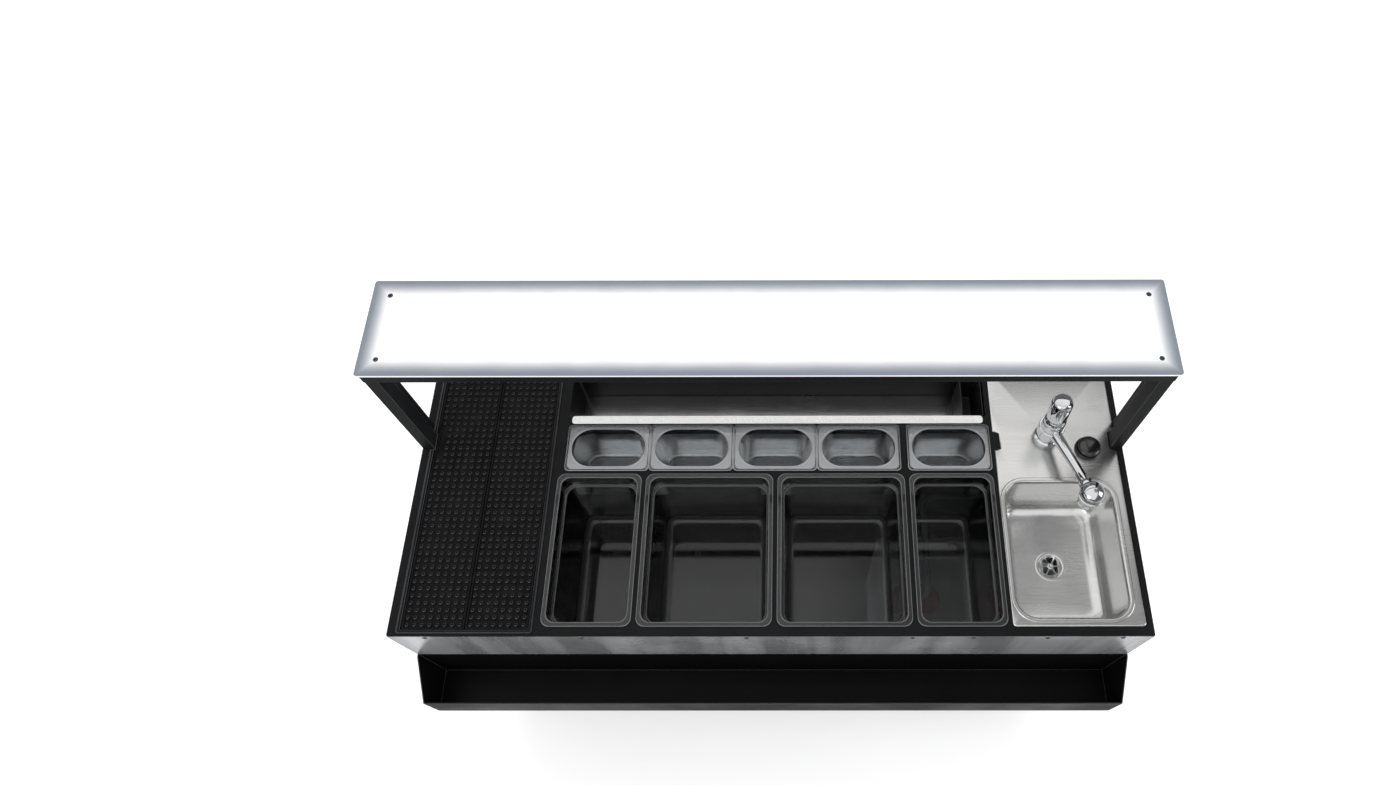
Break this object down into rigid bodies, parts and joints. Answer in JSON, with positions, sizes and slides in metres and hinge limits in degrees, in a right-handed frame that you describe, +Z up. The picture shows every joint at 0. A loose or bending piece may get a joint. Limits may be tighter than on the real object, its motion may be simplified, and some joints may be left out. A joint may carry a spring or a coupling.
{
  "type": "mobile bar unit",
  "caption": "Wheeled cocktail bar station with rubber drip mats, lift-out ice wells, garnish pans, bottle trough, sink with tap, speed rail and a lit upper shelf.",
  "frame": {"origin": "on the floor, below the middle of the unit's bounding box", "axes": "+X to the bartender's right along the worktop, +Y from the speed rail towards the guest side, +Z up"},
  "size_m": [1.49, 0.71, 1.18],
  "materials": {
    "frame_paint": "satin charcoal powder coat",
    "black_paint": "satin black powder coat",
    "steel": "brushed stainless",
    "mirror_steel": "polished stainless",
    "tap_chrome": "polished chrome",
    "well_clear": "clear polycarbonate with a smoky cast",
    "garnish_clear": "clear polycarbonate",
    "mat_rubber": "matte black rubber",
    "tray_steel": "satin charcoal",
    "bin_plastic": "black, lightly grained",
    "button_plastic": "black, glossy dome",
    "bezel_plastic": "black",
    "lit_acrylic": "opal acrylic lit from below",
    "led_strip": "white strip light",
    "screw_steel": "dark zinc",
    "deck_laminate": "black laminate board",
    "panel_laminate": "black coated sheet",
    "tank_plastic": "natural polyethylene",
    "cap_plastic": "red",
    "pump_plastic": "blue",
    "pipe_plastic": "off-white",
    "hose_plastic": "clear hose with a blue cast",
    "power_plastic": "dark grey",
    "switch_plastic": "red",
    "caster_steel": "zinc plated",
    "wheel_rubber": "dark grey tread",
    "pedal_plastic": "red"
  },
  "bodies": {
    "cabinet": {"worktop_frame": "frame_paint", "drip_tray": "tray_steel", "garnish_tray": "steel", "trough_walls": "black_paint", "trough_floor": "steel", "trough_lip": "steel", "sink_unit": "steel", "drain_fitting": "mirror_steel", "drain_pipe": "pipe_plastic", "tap_body": "tap_chrome", "pump_bezel": "bezel_plastic", "front_apron": "mirror_steel", "apron_screws": "screw_steel", "speed_rail": "black_paint", "base_frame": "black_paint", "bottom_deck": "deck_laminate", "guest_panel": "panel_laminate", "side_panel_left": "panel_laminate", "side_panel_right": "panel_laminate", "supply_hose": "hose_plastic", "power_box": "power_plastic", "caster_plates": "caster_steel"},
    "upper_shelf": {"lit_panel": "lit_acrylic", "shelf_frame": "frame_paint", "light_strips": "led_strip", "shelf_screws": "screw_steel", "post_left": "frame_paint", "post_right": "frame_paint"},
    "fresh_water": {"fresh_tank": "tank_plastic", "fresh_cap": "cap_plastic", "water_pump": "pump_plastic"},
    "waste_water": {"waste_tank": "tank_plastic", "waste_cap": "cap_plastic"},
    "mat_left": {"mat_left": "mat_rubber"},
    "mat_right": {"mat_right": "mat_rubber"},
    "bottle_well_left": {"bottle_well_left": "well_clear"},
    "ice_well_left": {"ice_well_left": "well_clear"},
    "ice_well_right": {"ice_well_right": "well_clear"},
    "bottle_well_right": {"bottle_well_right": "well_clear"},
    "garnish_pan_1": {"garnish_pan_1": "garnish_clear"},
    "garnish_pan_2": {"garnish_pan_2": "garnish_clear"},
    "garnish_pan_3": {"garnish_pan_3": "garnish_clear"},
    "garnish_pan_4": {"garnish_pan_4": "garnish_clear"},
    "garnish_pan_5": {"garnish_pan_5": "garnish_clear"},
    "waste_bin": {"waste_bin": "bin_plastic"},
    "drain_strainer": {"drain_strainer": "mirror_steel"},
    "tap_spout": {"tap_spout": "tap_chrome"},
    "tap_lever": {"tap_lever": "tap_chrome"},
    "pump_button": {"pump_button": "button_plastic"},
    "power_switch": {"power_switch": "switch_plastic"},
    "fork_front_left": {"fork_front_left": "caster_steel"},
    "wheel_front_left": {"wheel_front_left": "wheel_rubber"},
    "fork_front_right": {"fork_front_right": "caster_steel"},
    "wheel_front_right": {"wheel_front_right": "wheel_rubber"},
    "fork_back_left": {"fork_back_left": "caster_steel"},
    "wheel_back_left": {"wheel_back_left": "wheel_rubber"},
    "fork_back_right": {"fork_back_right": "caster_steel"},
    "wheel_back_right": {"wheel_back_right": "wheel_rubber"},
    "pedal_left": {"pedal_left": "pedal_plastic"},
    "pedal_right": {"pedal_right": "pedal_plastic"}
  },
  "joints": [
    {"name": "upper_shelf_lift", "type": "slide", "parent": "cabinet", "child": "upper_shelf", "axis": [0, 0, 1], "range_m": [0, 0.06]},
    {"name": "mat_left_lift", "type": "slide", "parent": "cabinet", "child": "mat_left", "axis": [0, 0, 1], "range_m": [0, 0.15]},
    {"name": "mat_right_lift", "type": "slide", "parent": "cabinet", "child": "mat_right", "axis": [0, 0, 1], "range_m": [0, 0.15]},
    {"name": "bottle_well_left_lift", "type": "slide", "parent": "cabinet", "child": "bottle_well_left", "axis": [0, 0, 1], "range_m": [0, 0.22]},
    {"name": "ice_well_left_lift", "type": "slide", "parent": "cabinet", "child": "ice_well_left", "axis": [0, 0, 1], "range_m": [0, 0.22]},
    {"name": "ice_well_right_lift", "type": "slide", "parent": "cabinet", "child": "ice_well_right", "axis": [0, 0, 1], "range_m": [0, 0.22]},
    {"name": "bottle_well_right_lift", "type": "slide", "parent": "cabinet", "child": "bottle_well_right", "axis": [0, 0, 1], "range_m": [0, 0.22]},
    {"name": "garnish_pan_1_lift", "type": "slide", "parent": "cabinet", "child": "garnish_pan_1", "axis": [0, 0, 1], "range_m": [0, 0.12]},
    {"name": "garnish_pan_2_lift", "type": "slide", "parent": "cabinet", "child": "garnish_pan_2", "axis": [0, 0, 1], "range_m": [0, 0.12]},
    {"name": "garnish_pan_3_lift", "type": "slide", "parent": "cabinet", "child": "garnish_pan_3", "axis": [0, 0, 1], "range_m": [0, 0.12]},
    {"name": "garnish_pan_4_lift", "type": "slide", "parent": "cabinet", "child": "garnish_pan_4", "axis": [0, 0, 1], "range_m": [0, 0.12]},
    {"name": "garnish_pan_5_lift", "type": "slide", "parent": "cabinet", "child": "garnish_pan_5", "axis": [0, 0, 1], "range_m": [0, 0.12]},
    {"name": "waste_bin_lift", "type": "slide", "parent": "cabinet", "child": "waste_bin", "axis": [0, 0, 1], "range_m": [0, 0.12]},
    {"name": "drain_strainer_lift", "type": "slide", "parent": "cabinet", "child": "drain_strainer", "axis": [0, 0, 1], "range_m": [0, 0.08]},
    {"name": "tap_spout_swing", "type": "hinge", "parent": "cabinet", "child": "tap_spout", "pos_m": [0.585, 0.168, 0.904], "axis": [0, 0, 1], "range_deg": [-48, 27]},
    {"name": "tap_lever_lift", "type": "hinge", "parent": "cabinet", "child": "tap_lever", "pos_m": [0.585, 0.168, 0.938], "axis": [-1, 0, 0], "range_deg": [0, 25]},
    {"name": "pump_button_press", "type": "slide", "parent": "cabinet", "child": "pump_button", "axis": [0, 0, -1], "range_m": [0, 0.0035], "stiffness_N_per_m": 900, "springref_m": -0.0015},
    {"name": "power_switch_rock", "type": "hinge", "parent": "cabinet", "child": "power_switch", "pos_m": [-0.648, 0.176, 0.198], "axis": [1, 0, 0], "range_deg": [0, 12]},
    {"name": "fresh_water_slide_out", "type": "slide", "parent": "cabinet", "child": "fresh_water", "axis": [0, -1, 0], "range_m": [0, 0.4]},
    {"name": "waste_water_slide_out", "type": "slide", "parent": "cabinet", "child": "waste_water", "axis": [0, -1, 0], "range_m": [0, 0.4]},
    {"name": "front_left_swivel", "type": "hinge", "parent": "cabinet", "child": "fork_front_left", "pos_m": [-0.646, -0.169, 0.118], "axis": [0, 0, 1], "continuous": true},
    {"name": "front_left_wheel_turn", "type": "hinge", "parent": "fork_front_left", "child": "wheel_front_left", "pos_m": [-0.614, -0.169, 0.045], "axis": [0, 1, 0], "continuous": true},
    {"name": "front_right_swivel", "type": "hinge", "parent": "cabinet", "child": "fork_front_right", "pos_m": [0.646, -0.169, 0.118], "axis": [0, 0, 1], "continuous": true},
    {"name": "front_right_wheel_turn", "type": "hinge", "parent": "fork_front_right", "child": "wheel_front_right", "pos_m": [0.678, -0.169, 0.045], "axis": [0, 1, 0], "continuous": true},
    {"name": "back_left_swivel", "type": "hinge", "parent": "cabinet", "child": "fork_back_left", "pos_m": [-0.646, 0.259, 0.118], "axis": [0, 0, 1], "continuous": true},
    {"name": "back_left_wheel_turn", "type": "hinge", "parent": "fork_back_left", "child": "wheel_back_left", "pos_m": [-0.614, 0.259, 0.045], "axis": [0, 1, 0], "continuous": true},
    {"name": "back_right_swivel", "type": "hinge", "parent": "cabinet", "child": "fork_back_right", "pos_m": [0.646, 0.259, 0.118], "axis": [0, 0, 1], "continuous": true},
    {"name": "back_right_wheel_turn", "type": "hinge", "parent": "fork_back_right", "child": "wheel_back_right", "pos_m": [0.678, 0.259, 0.045], "axis": [0, 1, 0], "continuous": true},
    {"name": "pedal_left_press", "type": "hinge", "parent": "fork_front_left", "child": "pedal_left", "pos_m": [-0.594, -0.169, 0.097], "axis": [0, -1, 0], "range_deg": [0, 20]},
    {"name": "pedal_right_press", "type": "hinge", "parent": "fork_front_right", "child": "pedal_right", "pos_m": [0.698, -0.169, 0.097], "axis": [0, -1, 0], "range_deg": [0, 20]}
  ]
}
